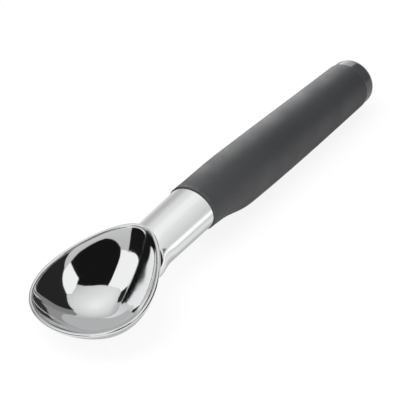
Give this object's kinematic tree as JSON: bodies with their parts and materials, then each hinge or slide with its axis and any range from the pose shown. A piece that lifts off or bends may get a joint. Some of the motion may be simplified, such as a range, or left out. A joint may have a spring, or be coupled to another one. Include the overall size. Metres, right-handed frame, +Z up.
{
  "type": "ice cream scoop",
  "caption": "Ice cream scoop: a polished cast head with an egg-shaped bowl and an oval neck, its tang held in a soft-touch grip that a domed glossy plug closes.",
  "frame": {"origin": "centre of the bounding box, on the table that the scoop lies on", "axes": "+X along the grip from the bowl to the plug, +Z up out of the bowl's mouth, Y across; mirror-symmetric about the XZ plane"},
  "size_m": [0.2164, 0.0496, 0.0277],
  "materials": {
    "polished_metal": "mirror polished zinc casting",
    "soft_grip": "charcoal soft-touch, fine matte texture",
    "gloss_trim": "dark grey, glossy"
  },
  "bodies": {
    "root": {"scoop_head": "polished_metal", "handle": "soft_grip", "end_cap": "gloss_trim"}
  },
  "joints": []
}
